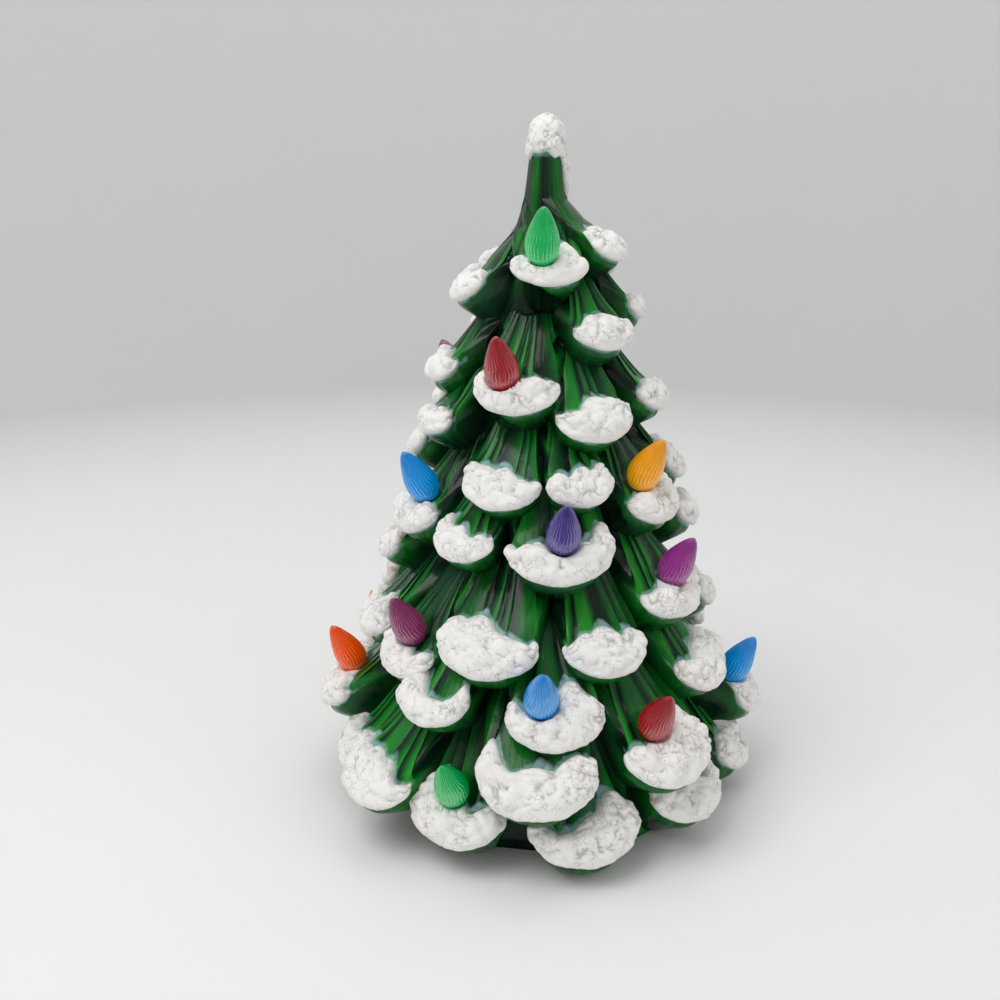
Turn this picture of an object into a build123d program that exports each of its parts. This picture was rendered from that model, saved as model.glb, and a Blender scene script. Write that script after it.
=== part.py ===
"""A hollow slip-cast ceramic christmas tree with snow on its branch lips and flame bulbs on pegs."""

from build123d import *
from collections import namedtuple
import math
import os

os.makedirs("parts", exist_ok=True)

# Overall form, in millimetres
tree_height = 280.0  # foot to the top of the snow on the peak
lip_reach_foot = 99.0  # radius of the line along the branch lips, at the foot
lip_reach_peak = 16.4  # and at the height of the peak
trunk_radius_foot = 68.0  # radius of the trunk behind the branches, at the foot
spire_start = 222.0  # height where the bare spire begins
spire_radius = 18.5  # radius of the trunk there
spire_height = 52.0  # bare spire, up to its blunt tip
spire_shares = [(0.28, 0.7), (0.6, 0.47), (1.0, 0.28)]  # height and radius along the concave spire
trunk_sides = 16

# Casting
wall = 5.0
foot_height = 8.0  # height of the ring that the tree stands on
base_bore_radius = 60.0  # round opening in that ring

# Branches, at the foot and at the height of the peak
branch_length_foot = 28.0
branch_length_peak = 15.0
branch_half_width_foot = 17.5
branch_half_width_peak = 10.0
branch_droop = 8.0  # degrees that a lip hangs down

# Sections of a branch from its root down over its thick lip: height in branch lengths, reach from trunk
# to lip, width
tongue_shares = [
    (1.2, -0.15, 0.5),
    (0.45, 0.48, 0.8),
    (0.0, 0.98, 1.0),
    (-0.4, 0.95, 0.93),
    (-1.0, -0.1, 0.42),
]
# Round front of a section: angles in degrees, and the radius at each fold's ridge or valley
fold_angles = (90, 45, 0, -45, -90)
fold_shares = (1.0, 0.94, 1.0, 0.94, 1.0)
tongue_depth_share = 0.9  # depth of the round front over its half width
lip_tilt = 24.0  # degrees that a section dips to its front, so that the middle of a lip hangs lowest
root_share = 0.75  # straight root behind the round front, over the branch's overhang
# Hollow inside a branch: height in branch lengths, reach from trunk to lip, width
hollow_shares = [(0.8, 0.15, 0.3), (-0.2, 0.97, 1.0), (-0.8, 0.2, 0.3)]
hollow_angles = (90, 35, -35, -90)
hollow_fold_shares = (1.0, 1.0, 1.0, 1.0)

# Rows of branches from the peak down, each with its reach over the line of lips and its branches:
# azimuth from the front in degrees, height over the tree's height, size over the usual size there
branch_row_shares = [
    (1.0, [(-75, 0.764, 1.0), (1, 0.789, 1.15), (60, 0.818, 0.9), (135, 0.79, 1.0), (-145, 0.78, 1.0)]),
    (1.0, [(36, 0.704, 1.0), (95, 0.732, 0.9), (155, 0.7, 1.0), (-150, 0.69, 1.0), (-82, 0.65, 1.0),
           (-17, 0.629, 1.2)]),
    (1.0, [(24, 0.593, 1.1), (72, 0.614, 0.9), (125, 0.6, 1.0), (178, 0.59, 1.0), (-128, 0.585, 1.0),
           (-66, 0.582, 0.8)]),
    (1.0, [(13, 0.511, 0.85), (-20, 0.507, 1.0), (50, 0.475, 1.0), (-65, 0.45, 1.05), (-100, 0.529, 0.8),
           (95, 0.5, 1.0), (145, 0.5, 1.05), (-157, 0.49, 1.05)]),
    (1.0, [(5, 0.418, 1.3), (-33, 0.432, 0.8), (90, 0.432, 1.0), (-84, 0.386, 0.7), (125, 0.41, 1.1),
           (170, 0.42, 1.1), (-140, 0.4, 1.1)]),
    (1.0, [(50, 0.346, 1.1), (98, 0.293, 1.0), (19, 0.296, 1.0), (-20, 0.293, 1.2), (-50, 0.264, 0.9),
           (-78, 0.279, 1.0), (145, 0.31, 1.15), (-165, 0.3, 1.15), (-118, 0.29, 1.1)]),
    (1.02, [(57, 0.239, 1.0), (2, 0.214, 1.1), (-35, 0.221, 0.95), (120, 0.215, 1.1), (168, 0.22, 1.1),
            (-142, 0.215, 1.1)]),
    (1.08, [(33, 0.154, 1.1), (-3, 0.139, 1.25), (-47, 0.1, 1.0), (-88, 0.143, 1.0), (88, 0.136, 1.0),
            (140, 0.14, 1.15), (-170, 0.145, 1.15), (-122, 0.135, 1.1)]),
    (0.95, [(10, 0.054, 1.15), (-25, 0.068, 1.1), (44, 0.071, 1.0), (-70, 0.079, 1.0), (80, 0.06, 1.0),
            (116, 0.065, 1.1), (155, 0.06, 1.15), (-163, 0.06, 1.15), (-120, 0.065, 1.1)]),
]

# Snow on a lip
snow_thickness = 4.0
# Sections of the snow on a lip: height in branch lengths, reach from trunk to lip, width, thickness
snow_shares = [
    (0.27, 0.7, 0.9, 0.6),
    (-0.02, 0.99, 1.0, 1.0),
    (-0.34, 0.95, 0.95, 0.7),
]
# Round front of the snow: angles in degrees, and the radius on each lump and in each dip between them
lump_angles = (82, 50, 18, -18, -50, -82)
lump_shares = (1.0, 1.03, 0.97, 1.03, 0.97, 1.0)
# Snow on the peak
cap_radius = 8.8
cap_height = 22.0
cap_shares = [(0.0, 0.86), (0.3, 1.0), (0.65, 0.94), (0.92, 0.6), (1.0, 0.3)]  # height and radius
cap_sides = 8
drip_length = 17.0  # snow that ran down one side of the spire
drip_half_width = 4.0

# Flame bulbs and their pegs
bulb_length = 22.0
bulb_radius = 6.5
bulb_shares = [(0.0, 0.6), (0.14, 0.9), (0.34, 1.0), (0.62, 0.78), (1.0, 0.12)]  # height, radius
bulb_sides = 8
bulb_lean = 30.0  # degrees from upright, outwards
peg_radius = 2.0
peg_length = 9.0
peg_clearance = 0.3  # round the peg, under the bulb and past the peg's end
seat_sink = 1.0  # how far a seat is cut into the branch
bulb_clearance = 0.6  # round the bulb where it stands in its seat
# Colour of each bulb, with the row and the place in that row of the branch that carries it, and its seat's
# height in branch lengths and place to the side in half widths
bulb_seat_shares = [
    ("green", 1, 2, 0.25, -0.25), ("red", 2, 6, 0.22, -0.3), ("amber", 2, 3, 0.3, 0.0),
    ("magenta", 3, 5, 0.3, 0.0), ("blue", 4, 4, 0.34, 0.4), ("amber", 4, 3, 0.36, -0.45),
    ("green", 4, 7, 0.3, 0.1), ("purple", 5, 1, 0.25, 0.0), ("blue", 5, 5, 0.3, -0.1),
    ("red", 5, 7, 0.3, 0.2), ("magenta", 6, 1, 0.3, 0.0), ("mauve", 6, 5, 0.32, 0.15),
    ("orange", 6, 8, 0.3, -0.2), ("blue", 7, 2, 0.22, -0.35), ("green", 7, 4, 0.3, 0.1),
    ("orange", 8, 4, 0.34, 0.0), ("red", 8, 1, 0.34, -0.35), ("blue", 8, 5, 0.3, -0.45),
    ("amber", 8, 8, 0.3, 0.1), ("purple", 8, 6, 0.3, -0.1), ("green", 9, 2, 0.3, -0.05),
    ("magenta", 9, 6, 0.3, 0.0),
]

Branch = namedtuple("Branch", "plane height lip length half_width")


def between(share, start, end):
    """A value a share of the way from its start to its end."""
    return start + (end - start) * share


def trunk_radius(height):
    """Radius of the trunk behind the branches."""
    return between(height / spire_start, trunk_radius_foot, spire_radius)


def make_branch(row_reach, azimuth, height_share, size_share):
    """Sizes of a branch, and the plane at its lip: x outwards and drooping, z up."""
    lip = between(height_share, lip_reach_foot, lip_reach_peak) * row_reach
    height = height_share * tree_height
    place = Rot(Z=azimuth - 90) * Pos(lip, 0, height) * Rot(Y=branch_droop)
    length = between(height_share, branch_length_foot, branch_length_peak) * math.sqrt(size_share)
    half_width = between(height_share, branch_half_width_foot, branch_half_width_peak) * size_share
    return Branch(Plane(place), height, lip, length, half_width)


def section_plane(branch, height_share, reach_share, stands_proud=0):
    """Plane of a section across a branch, from the section's front: x outwards and dipping, z up."""
    rise = height_share * branch.length
    root = trunk_radius(branch.height + rise) - branch.lip
    front_x = root * (1 - reach_share) + stands_proud
    return Plane(branch.plane.location * Pos(front_x, 0, rise) * Rot(Y=lip_tilt))


def stack_outlines(sections):
    """A solid with flat faces through a stack of similar outlines, each a plane and its points."""
    rings = [[plane.from_local_coords((x, y, 0)) for x, y in points] for plane, points in sections]
    faces = [Face(Wire.make_polygon(rings[0])), Face(Wire.make_polygon(rings[-1]))]
    for ring, below in zip(rings, rings[1:]):
        corners = zip(ring, ring[1:] + ring[:1], below[1:] + below[:1], below)
        faces.extend(Face(Wire.make_polygon(side)) for side in corners)
    return Solid(Shell(faces))


def round_outline(radius, sides):
    """Corners of a regular outline."""
    turns = [2 * math.pi * side / sides for side in range(sides)]
    return [(radius * math.cos(turn), radius * math.sin(turn)) for turn in turns]


def front_outline(half_width, angles, folds):
    """Round folded front of a section, back from its foremost point."""
    depth = half_width * tongue_depth_share
    outline = []
    for angle, fold in zip(angles, folds):
        turn = math.radians(angle)
        outline.append((depth * (fold * math.cos(turn) - 1), half_width * fold * math.sin(turn)))
    return outline


def rooted_outline(half_width, angles, folds, root_length):
    """Round folded front of a section, with straight sides back to its root."""
    outline = front_outline(half_width, angles, folds)
    root_x = -half_width * tongue_depth_share - root_length
    return outline + [(root_x, -half_width), (root_x, half_width)]


def make_tongue(branch):
    """The outside of a branch: a folded tongue that widens to its lip and runs back below it."""
    root_length = (branch.lip - trunk_radius(branch.height)) * root_share
    sections = []
    for height_share, reach_share, width_share in tongue_shares:
        half_width = branch.half_width * width_share
        outline = rooted_outline(half_width, fold_angles, fold_shares, root_length)
        sections.append((section_plane(branch, height_share, reach_share), outline))
    return stack_outlines(sections)


def make_hollow(branch):
    """The hollow inside a branch, one wall in from its outside and open to the trunk."""
    root_length = (branch.lip - trunk_radius(branch.height)) * root_share + wall
    sections = []
    for height_share, reach_share, width_share in hollow_shares:
        half_width = (branch.half_width - wall) * width_share
        outline = rooted_outline(half_width, hollow_angles, hollow_fold_shares, root_length)
        sections.append((section_plane(branch, height_share, reach_share, -wall), outline))
    return stack_outlines(sections)


def make_snow_lump(branch):
    """A lumpy crust of snow over a branch lip, before the branch is cut from it."""
    sections = []
    for height_share, reach_share, width_share, thickness_share in snow_shares:
        thickness = snow_thickness * thickness_share
        half_width = branch.half_width * width_share + thickness / 2
        outline = front_outline(half_width, lump_angles, lump_shares)
        sections.append((section_plane(branch, height_share, reach_share, thickness), outline))
    return stack_outlines(sections)


def bulb_plane(branch, height_share, side_share):
    """Plane of a bulb's seat on the slope of its branch, with z up the bulb."""
    slope_top, slope_foot = tongue_shares[1:3]
    down = (slope_top[0] - height_share) / (slope_top[0] - slope_foot[0])
    section = section_plane(branch, height_share, between(down, slope_top[1], slope_foot[1]))
    half_width = branch.half_width * between(down, slope_top[2], slope_foot[2])
    turn = math.degrees(math.asin(side_share))
    spot = front_outline(half_width, [turn], [1])[0]
    place = section.location * Pos(*spot) * Rot(Y=bulb_lean - branch_droop - lip_tilt)
    return Plane(place).offset(-seat_sink)


def make_seat_cut(plane):
    """What a bulb takes out of its branch: the room round its lower half, and the peg hole below."""
    neck = bulb_radius * bulb_shares[0][1] + bulb_clearance
    belly = bulb_radius + bulb_clearance
    belly_height = bulb_length * bulb_shares[1][0]
    hole_radius = peg_radius + peg_clearance
    hole_end = -peg_length - peg_clearance
    room_rings = [(0, neck), (belly_height, belly), (bulb_length, belly)]
    room_sections = [(plane.offset(rise), round_outline(radius, bulb_sides)) for rise, radius in room_rings]
    hole_outline = round_outline(hole_radius, bulb_sides)
    hole_sections = [(plane.offset(rise), hole_outline) for rise in (hole_end, belly_height)]
    return [stack_outlines(room_sections), stack_outlines(hole_sections)]


branch_rows = [
    [make_branch(row_reach, *branch_shares) for branch_shares in row] for row_reach, row in branch_row_shares
]
bulb_planes = [
    bulb_plane(branch_rows[row - 1][place - 1], *seat_shares)
    for colour, row, place, *seat_shares in bulb_seat_shares
]
tongue_rows = [[make_tongue(branch) for branch in row] for row in branch_rows]
snow_lump_rows = [[make_snow_lump(branch) for branch in row] for row in branch_rows]
seat_cuts = [make_seat_cut(plane) for plane in bulb_planes]

# Trunk and concave spire, and the room inside them
trunk_rings = [(0, trunk_radius_foot), (spire_start, spire_radius)]
trunk_rings += [(spire_start + spire_height * rise, spire_radius * width) for rise, width in spire_shares]
trunk = stack_outlines(
    [(Plane.XY.offset(height), round_outline(radius, trunk_sides)) for height, radius in trunk_rings]
)
room_rings = trunk_rings[:-1]
room = stack_outlines(
    [(Plane.XY.offset(height), round_outline(radius - wall, trunk_sides)) for height, radius in room_rings]
)

# Outside of the casting
with BuildPart() as outside:
    add(trunk)
    add([tongue for row in tongue_rows for tongue in row], clean=False)
    split(bisect_by=Plane.XY, keep=Keep.TOP)

# Inside of the casting, above the foot ring
with BuildPart() as cavity:
    add(room)
    add([make_hollow(branch) for row in branch_rows for branch in row], clean=False)
    split(bisect_by=Plane.XY.offset(foot_height), keep=Keep.TOP)

# The glazed shell, open below, with a seat and a peg hole for every bulb
with BuildPart() as tree_shell:
    add(outside.part, clean=False)
    add(cavity.part, mode=Mode.SUBTRACT, clean=False)
    with BuildSketch(Plane.XY):
        Circle(base_bore_radius)
    extrude(amount=foot_height, mode=Mode.SUBTRACT, clean=False)
    add([cut for cuts in seat_cuts for cut in cuts], mode=Mode.SUBTRACT, clean=False)
# Only the casting itself is kept, without crumbs of wall between the hollows
casting = tree_shell.solids().sort_by(SortBy.VOLUME)[-1]
casting.label = "tree_shell"
export_step(casting, "parts/tree_shell.step")

# Snow on the branch lips, one group of lumps for each row, each row lying under the one above
for number, lumps in enumerate(snow_lump_rows, start=1):
    near_rows = tongue_rows[max(number - 2, 0) : number + 1]
    near_tongues = [tongue for row in near_rows for tongue in row]
    lumps_above = snow_lump_rows[number - 2] if number > 1 else []
    cut_seats = zip(bulb_seat_shares, seat_cuts)
    near_cuts = [cut for bulb_seat, cuts in cut_seats if abs(bulb_seat[1] - number) < 2 for cut in cuts]
    with BuildPart() as snow_row:
        add(lumps, clean=False)
        add([trunk] + near_tongues + lumps_above + near_cuts, mode=Mode.SUBTRACT, clean=False)
        split(bisect_by=Plane.XY, keep=Keep.TOP)
    snow_row.part.label = f"snow_row_{number}"
    export_step(snow_row.part, f"parts/snow_row_{number}.step")

# Snow on the peak, with the drip down its right side
cap_foot = tree_height - cap_height
cap_sections = [
    (Plane.XY.offset(cap_foot + cap_height * rise), round_outline(cap_radius * width, cap_sides))
    for rise, width in cap_shares
]
drip_top = Plane.XY.offset(cap_foot + cap_height / 2).move(Pos(cap_radius - drip_half_width, 0))
drip_foot = Plane.XY.offset(cap_foot - drip_length).move(Pos(cap_radius + drip_half_width / 2, 0))
drip_outline = round_outline(drip_half_width, cap_sides)
with BuildPart() as top_snow_cap:
    add(stack_outlines(cap_sections))
    add(stack_outlines([(drip_top, drip_outline), (drip_foot, drip_outline)]))
    add([trunk] + tongue_rows[0] + snow_lump_rows[0], mode=Mode.SUBTRACT)
top_snow_cap.part.label = "top_snow_cap"
export_step(top_snow_cap.part, "parts/top_snow_cap.step")

# Flame bulbs, each standing just clear of its seat
for number, (bulb_seat, plane) in enumerate(zip(bulb_seat_shares, bulb_planes), start=1):
    stand = plane.offset(peg_clearance)
    bulb_sections = [
        (stand.offset(bulb_length * rise), round_outline(bulb_radius * width, bulb_sides))
        for rise, width in bulb_shares
    ]
    peg_outline = round_outline(peg_radius, bulb_sides)
    with BuildPart() as bulb:
        add(stack_outlines(bulb_sections))
        add(stack_outlines([(stand.offset(-peg_length), peg_outline), (stand, peg_outline)]))
    bulb.part.label = f"bulb_{number:02d}_{bulb_seat[0]}"
    export_step(bulb.part, f"parts/{bulb.part.label}.step")
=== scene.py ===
"""Glazed ceramic christmas tree with crusted snow on its branch lips and flame bulbs on pegs."""

import math

import bpy
import numpy as np
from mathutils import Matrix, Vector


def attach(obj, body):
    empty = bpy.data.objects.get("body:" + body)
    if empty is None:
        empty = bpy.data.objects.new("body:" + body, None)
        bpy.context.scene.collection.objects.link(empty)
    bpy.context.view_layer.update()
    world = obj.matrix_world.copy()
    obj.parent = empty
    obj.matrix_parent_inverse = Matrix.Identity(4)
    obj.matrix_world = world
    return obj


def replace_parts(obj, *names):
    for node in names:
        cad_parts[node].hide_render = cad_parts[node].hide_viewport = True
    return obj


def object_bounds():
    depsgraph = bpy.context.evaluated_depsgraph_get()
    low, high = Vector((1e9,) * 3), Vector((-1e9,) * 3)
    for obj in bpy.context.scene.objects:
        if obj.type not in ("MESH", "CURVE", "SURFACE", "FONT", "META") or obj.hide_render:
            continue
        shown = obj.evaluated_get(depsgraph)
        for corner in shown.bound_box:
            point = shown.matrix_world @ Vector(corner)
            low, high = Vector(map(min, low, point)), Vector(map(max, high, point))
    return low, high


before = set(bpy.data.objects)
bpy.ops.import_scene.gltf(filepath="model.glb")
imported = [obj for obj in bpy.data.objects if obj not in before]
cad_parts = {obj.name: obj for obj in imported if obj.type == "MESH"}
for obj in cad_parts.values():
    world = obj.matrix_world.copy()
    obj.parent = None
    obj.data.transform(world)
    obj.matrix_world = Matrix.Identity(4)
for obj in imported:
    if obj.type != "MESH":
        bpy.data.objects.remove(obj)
cad_box = [[float(value) for value in corner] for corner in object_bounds()]

MM = 0.001  # every size below is in millimetres

# Tree: the same sizes as its solids
TREE_HEIGHT = 280.0
LIP_FOOT, LIP_PEAK = 99.0, 16.4
TRUNK_FOOT, TRUNK_SPIRE, SPIRE_START = 68.0, 18.5, 222.0
SPIRE_PROFILE = [(222, 18.5), (230, 15.0), (237, 12.2), (246, 9.2), (254, 7.8), (262, 6.8), (270, 5.0),
                 (274, 2.0)]  # height, radius
SPIRE_TOP, ROOM_TOP = 274.0, 250.0  # tip of the clay under the snow, and the top of the room inside
LENGTH_FOOT, LENGTH_PEAK = 28.0, 15.0
HALF_WIDTH_FOOT, HALF_WIDTH_PEAK = 17.5, 10.0
DROOP = math.radians(8.0)
WALL, FOOT_HEIGHT, BORE_RADIUS = 5.0, 8.0, 60.0

# Rows of branches from the peak down: reach over the line of lips, then azimuth, height share, size share
BRANCH_ROWS = [
    (1.0, [(-75, 0.764, 1.0), (1, 0.789, 1.15), (60, 0.818, 0.9), (135, 0.79, 1.0), (-145, 0.78, 1.0)]),
    (1.0, [(36, 0.704, 1.0), (95, 0.732, 0.9), (155, 0.7, 1.0), (-150, 0.69, 1.0), (-82, 0.65, 1.0),
           (-17, 0.629, 1.2)]),
    (1.0, [(24, 0.593, 1.1), (72, 0.614, 0.9), (125, 0.6, 1.0), (178, 0.59, 1.0), (-128, 0.585, 1.0),
           (-66, 0.582, 0.8)]),
    (1.0, [(13, 0.511, 0.85), (-20, 0.507, 1.0), (50, 0.475, 1.0), (-65, 0.45, 1.05), (-100, 0.529, 0.8),
           (95, 0.5, 1.0), (145, 0.5, 1.05), (-157, 0.49, 1.05)]),
    (1.0, [(5, 0.418, 1.3), (-33, 0.432, 0.8), (90, 0.432, 1.0), (-84, 0.386, 0.7), (125, 0.41, 1.1),
           (170, 0.42, 1.1), (-140, 0.4, 1.1)]),
    (1.0, [(50, 0.346, 1.1), (98, 0.293, 1.0), (19, 0.296, 1.0), (-20, 0.293, 1.2), (-50, 0.264, 0.9),
           (-78, 0.279, 1.0), (145, 0.31, 1.15), (-165, 0.3, 1.15), (-118, 0.29, 1.1)]),
    (1.02, [(57, 0.239, 1.0), (2, 0.214, 1.1), (-35, 0.221, 0.95), (120, 0.215, 1.1), (168, 0.22, 1.1),
            (-142, 0.215, 1.1)]),
    (1.08, [(33, 0.154, 1.1), (-3, 0.139, 1.25), (-47, 0.1, 1.0), (-88, 0.143, 1.0), (88, 0.136, 1.0),
            (140, 0.14, 1.15), (-170, 0.145, 1.15), (-122, 0.135, 1.1)]),
    (0.95, [(10, 0.054, 1.15), (-25, 0.068, 1.1), (44, 0.071, 1.0), (-70, 0.079, 1.0), (80, 0.06, 1.0),
            (116, 0.065, 1.1), (155, 0.06, 1.15), (-163, 0.06, 1.15), (-120, 0.065, 1.1)]),
]

# A branch along its length, from the root above (0) over the lip to the root below (1):
# height in branch lengths, reach from trunk to lip, width, depth of its folds, and how green it is, darkened
# with painted shade towards the root above and under the lip
RISE = [(0, 1.2), (0.15, 0.9), (0.3, 0.6), (0.42, 0.4), (0.52, 0.22), (0.6, 0.08), (0.68, -0.08),
        (0.75, -0.24), (0.81, -0.37), (0.87, -0.5), (1, -1.0)]
REACH = [(0, -0.15), (0.15, 0.08), (0.3, 0.33), (0.42, 0.53), (0.52, 0.76), (0.6, 0.92), (0.68, 1.0),
         (0.75, 1.01), (0.81, 0.96), (0.87, 0.78), (1, -0.1)]
REACH_FLARED = [(0, -0.4), (0.15, -0.16), (0.3, 0.07), (0.42, 0.25), (0.52, 0.5), (0.6, 0.78), (0.68, 0.98),
                (0.75, 1.01), (0.81, 0.96), (0.87, 0.78), (1, -0.1)]  # reach of the top row
WIDTH = [(0, 0.5), (0.15, 0.62), (0.3, 0.74), (0.42, 0.82), (0.52, 0.91), (0.6, 0.97), (0.68, 1.0),
         (0.75, 0.99), (0.81, 0.95), (0.87, 0.86), (1, 0.42)]
FOLD_DEPTH = [(0, 0.6), (0.2, 1.0), (0.45, 1.0), (0.62, 0.5), (0.75, 0.2), (1, 0.1)]
GREEN_AND_SHADE_ALONG = [(0, 0.2), (0.25, 0.75), (0.6, 0.95), (0.78, 0.85), (0.86, 0.55), (0.93, 0.15), (1, 0)]
LIP_ALONG = 0.68  # where the lip lies on that way
WAY_OVER = 2.2  # the whole way, in branch lengths
USUAL_HALF_WIDTH = 15.0  # the folds and the snow of other branches are scaled by their width over this
# Upper edge of the snow on each branch that faces the front: height over the usual one at SNOW_KNOTS across,
# from its left to its right
SNOW_KNOTS = (-0.88, -0.45, 0.0, 0.45, 0.88)
SNOW_TOPS = {
    (1, 2): (0.5, 0.8, 1.0, 1.3, 0.9), (2, 1): (0.8, 1.1, 1.1, 1.0, 1.0), (2, 5): (1.3, 1.1, 1.0, 0.9, 0.8),
    (2, 6): (1.6, 0.9, 1.1, 1.0, 0.8), (3, 1): (0.6, 0.8, 1.2, 1.2, 0.9), (4, 1): (0.7, 0.9, 1.0, 0.9, 1.6),
    (4, 2): (1.8, 1.1, 0.95, 0.8, 0.6), (4, 3): (0.5, 0.8, 1.0, 1.2, 1.3), (4, 4): (1.2, 1.1, 1.0, 0.9, 0.7),
    (5, 1): (0.7, 0.8, 0.75, 1.1, 2.0), (5, 2): (1.9, 0.9, 0.8, 0.7, 0.6), (6, 1): (0.7, 0.9, 1.0, 1.2, 1.2),
    (6, 3): (0.6, 0.9, 1.1, 1.1, 1.0), (6, 4): (1.3, 1.4, 1.1, 0.7, 0.9), (6, 5): (1.1, 1.1, 0.9, 0.7, 0.5),
    (7, 1): (0.6, 0.9, 1.1, 1.3, 1.3), (7, 2): (0.8, 0.7, 1.0, 1.2, 1.1), (7, 3): (1.7, 1.1, 0.55, 0.7, 1.4),
    (8, 1): (0.5, 0.8, 1.1, 1.3, 1.2), (8, 2): (1.9, 0.95, 0.7, 0.9, 1.4), (8, 3): (1.6, 1.1, 0.9, 0.6, 0.4),
    (8, 4): (1.3, 1.1, 1.0, 0.8, 0.6), (9, 1): (0.4, 0.6, 0.9, 1.2, 1.3), (9, 2): (1.1, 1.3, 1.0, 0.7, 0.7),
}
TILT = math.radians(24.0)  # dip of a section to its front, so that the middle of a lip hangs lowest
DEPTH_SHARE = 0.9  # depth of a branch's round front over its half width
FRONT_SHARE = 0.86  # part of the way across that is the round front; the rest runs back into the trunk
ROOT_SHARE = 0.75  # how far the two sides of a branch run back, over the way from its lip to the trunk
FOLD_MM = 2.8  # depth of the folds
SNOW_THICKNESS, SNOW_TUCK = 3.7, 1.2  # snow over the clay, and how deep its edge is tucked in
FROST_WIDTH = 1.9  # milky glaze beside the snow

# Bulbs: colour, row and place in that row of the branch that carries it, and the seat's height and side
# shares
BULBS = [
    ("green", 1, 2, 0.25, -0.25), ("red", 2, 6, 0.22, -0.3), ("amber", 2, 3, 0.3, 0.0),
    ("magenta", 3, 5, 0.3, 0.0), ("blue", 4, 4, 0.34, 0.4), ("amber", 4, 3, 0.36, -0.45),
    ("green", 4, 7, 0.3, 0.1), ("purple", 5, 1, 0.25, 0.0), ("blue", 5, 5, 0.3, -0.1),
    ("red", 5, 7, 0.3, 0.2), ("magenta", 6, 1, 0.3, 0.0), ("mauve", 6, 5, 0.32, 0.15),
    ("orange", 6, 8, 0.3, -0.2), ("blue", 7, 2, 0.22, -0.35), ("green", 7, 4, 0.3, 0.1),
    ("orange", 8, 4, 0.34, 0.0), ("red", 8, 1, 0.34, -0.35), ("blue", 8, 5, 0.3, -0.45),
    ("amber", 8, 8, 0.3, 0.1), ("purple", 8, 6, 0.3, -0.1), ("green", 9, 2, 0.3, -0.05),
    ("magenta", 9, 6, 0.3, 0.0),
]
# Sections that a seat lies between: height, reach, width
SLOPE_TOP, SLOPE_FOOT = (0.45, 0.48, 0.8), (0.0, 0.98, 1.0)
BULB_LENGTH, BULB_RADIUS = 22.0, 6.5
BULB_LEAN = math.radians(30.0)
BULB_PROFILE = [(0, 0.6), (0.14, 0.9), (0.32, 1.0), (0.55, 0.86), (0.77, 0.58), (0.9, 0.37), (0.97, 0.2),
                (1, 0.08)]
PEG_RADIUS, PEG_LENGTH = 2.0, 9.0
SEAT_SINK, STAND = 1.0, 0.3
HOLE_RADIUS = 2.3
SEAT_RIM, MOUND_RIM = 4.6, 10.0  # radius of a flat seat, and of the foot of its mound
SEAT_DIP = 0.1  # clay and snow end this far below the seat
SEAT_REACH, SEAT_DEPTH = 12.0, 16.0  # what a seat shapes: this far from its axis, and this far up and down
NECK_ROOM, BELLY_ROOM, BELLY_UP = 0.5, 0.6, 3.4  # room round a bulb's neck and belly, and the belly's height
CLEAR_UP = 99.0  # higher than anything beside a bulb
HOLE_EDGE = 1.0  # the ring covers the edge of the opening this far round the hole
CLAY_FLOOR, SNOW_FLOOR = 3.0, 4.5  # below the end of the peg, out of sight under the ring's own floor

# Sizes of the snow's lumps, of small lumps on them, and of the patches where those show and where it cracks
LUMP_SIZE, SMALL_LUMP_SIZE, PATCH_SIZE, CRACKED_SIZE = 8.4, 4.0, 15.0, 6.0

# Whole numbers that mix the place of a cube into one number, and the sine that scatters it
CUBE_MIX, SEED_MIX = np.array([73856093, 19349663, 83492791]), 2654435761
AXIS_STEP, MIX_LIMIT = 131, 99991
SINE_STEP, SINE_SIZE = 12.9898, 43758.5453
JITTER = 0.42  # how far a scattered point may lie from the middle of its cube
FAR = 9.0  # more cubes away than any scattered point

# Height and depth of the folds, height and green of the trunk and spire: dark behind the branches as painted
# shade, and light at the foot ring as painted light in the shade of the lowest branches
TRUNK_FOLDS = [(0, 3.0), (200, 3.0), (235, 1.5), (262, 0.6), (274, 0.0)]
TRUNK_GREEN_AND_SHADING = [(0, 0.9), (14, 0.8), (26, 0.1), (205, 0.1), (225, 0.5), (240, 0.6), (274, 0.6)]

# Points of the pieces' grids
BRANCH_LINES, BRANCH_COLUMNS = 48, 108
SNOW_LINES, SNOW_COLUMNS = 56, 84
TRUNK_COLUMNS = 180
BULB_COLUMNS, BULB_FLUTES = 160, 28


# Sums on whole arrays

def smooth_curve(knots, at):
    """A curve through knots: cubic pieces, the slope at a knot is that between its neighbours."""
    places, values = np.array(knots, float).T
    slopes = np.gradient(values, places)
    at = np.clip(at, places[0], places[-1])
    piece = np.clip(np.searchsorted(places, at, side="right") - 1, 0, len(places) - 2)
    width = places[piece + 1] - places[piece]
    s = (at - places[piece]) / width
    start = values[piece] * (1 + 2 * s) + slopes[piece] * width * s
    end = values[piece + 1] * (3 - 2 * s) + slopes[piece + 1] * width * (s - 1)
    return start * (1 - s) ** 2 + end * s ** 2


def ease(low, high, value):
    """0 below low, 1 above high, and a smooth step between."""
    s = np.clip((value - low) / (high - low), 0, 1)
    return s * s * (3 - 2 * s)


def trunk_radius(height):
    """Radius of the trunk behind the branches, a straight taper."""
    return TRUNK_FOOT + (TRUNK_SPIRE - TRUNK_FOOT) * height / SPIRE_START


def spire_radius(height):
    """Radius of the concave spire and of the trunk below it."""
    return np.where(height < SPIRE_START, trunk_radius(height), smooth_curve(SPIRE_PROFILE, height))


def scatter(number, phase=0.0):
    """A value from -1 to 1 for each whole number, as if by chance: what follows the point in a large sine."""
    return np.modf(np.sin(number * SINE_STEP + phase) * SINE_SIZE)[0]


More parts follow.
